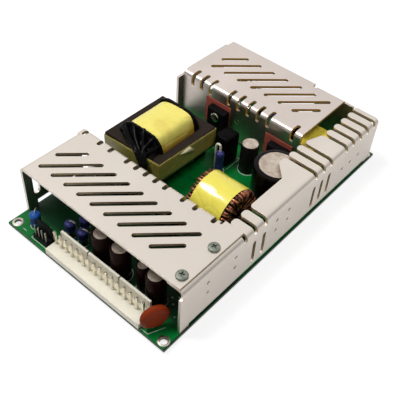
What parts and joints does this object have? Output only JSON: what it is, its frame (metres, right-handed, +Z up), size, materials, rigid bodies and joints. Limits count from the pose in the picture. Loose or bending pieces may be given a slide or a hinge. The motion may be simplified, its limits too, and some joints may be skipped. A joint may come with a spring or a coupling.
{
  "type": "open frame power supply",
  "caption": "Open frame power supply: a circuit board with folded, slotted heat sink covers and side wall over a transformer, ring choke, capacitors and pin headers.",
  "frame": {"origin": "centre of the corner hole pattern, on the underside of the circuit board", "axes": "+X across the board to the right, +Y from the output header to the mains end, +Z up from the board"},
  "size_m": [0.108, 0.1783, 0.0352],
  "materials": {
    "board_green": "green solder mask over glass fibre",
    "sheet_aluminium": "plain mill finish sheet",
    "zinc_steel": "zinc plated",
    "ivory_nylon": "natural nylon",
    "black_nylon": "black moulded",
    "tinned_pin": "tinned",
    "ferrite": "dark ground ferrite",
    "black_bobbin": "black moulded",
    "yellow_tape": "polyester tape",
    "olive_tape": "thin polyester tape over ferrite",
    "black_sleeve": "soft sleeving",
    "copper_wire": "enamelled copper",
    "can_sleeve": "dark shrunk sleeve",
    "brown_disc": "dipped, orange brown",
    "blue_resistor": "dipped, blue",
    "package_black": "moulded",
    "terracotta_pad": "insulating pad",
    "yellow_box": "moulded case",
    "fuse_glass": "clear",
    "dark_disc": "dipped, near black",
    "blue_disc": "dipped, blue",
    "solder": "solder"
  },
  "bodies": {
    "root": {"circuit_board": "board_green", "front_heat_sink": "sheet_aluminium", "rear_heat_sink": "sheet_aluminium", "side_wall": "sheet_aluminium", "plate_screws": "zinc_steel", "package_screws": "zinc_steel", "bridge_screw": "zinc_steel", "output_header": "ivory_nylon", "input_header": "ivory_nylon", "control_header": "black_nylon", "output_header_pins": "tinned_pin", "input_header_pins": "tinned_pin", "control_header_pins": "tinned_pin", "transformer_core_front": "ferrite", "transformer_core_rear": "ferrite", "transformer_bobbin": "black_bobbin", "transformer_winding": "yellow_tape", "transformer_core_tape": "olive_tape", "transformer_pins": "tinned_pin", "transformer_leads": "black_sleeve", "choke_core": "ferrite", "choke_winding": "copper_wire", "choke_band": "yellow_tape", "choke_leads": "copper_wire", "line_choke_core": "ferrite", "line_choke_winding": "copper_wire", "bulk_capacitor": "can_sleeve", "supply_capacitor": "can_sleeve", "start_capacitor": "package_black", "output_capacitor_1": "can_sleeve", "output_capacitor_2": "can_sleeve", "output_capacitor_3": "can_sleeve", "output_capacitor_small": "can_sleeve", "disc_capacitor": "brown_disc", "disc_leads": "tinned_pin", "inrush_thermistor": "dark_disc", "y_capacitors": "blue_disc", "standing_resistor_1": "blue_resistor", "standing_resistor_2": "blue_resistor", "standing_resistor_3": "blue_resistor", "standing_resistor_4": "blue_resistor", "standing_resistor_5": "blue_resistor", "resistor_leads": "tinned_pin", "switching_transistor_1": "package_black", "switching_transistor_2": "package_black", "transistor_pads": "terracotta_pad", "transistor_leads": "tinned_pin", "output_rectifier_1": "package_black", "output_rectifier_2": "package_black", "rectifier_pads": "terracotta_pad", "rectifier_leads": "tinned_pin", "bridge_rectifier": "package_black", "x_capacitor": "yellow_box", "fuse": "fuse_glass", "fuse_caps": "zinc_steel", "control_chip": "package_black", "optocouplers": "package_black", "chip_legs": "tinned_pin", "solder_joints": "solder"}
  },
  "joints": []
}
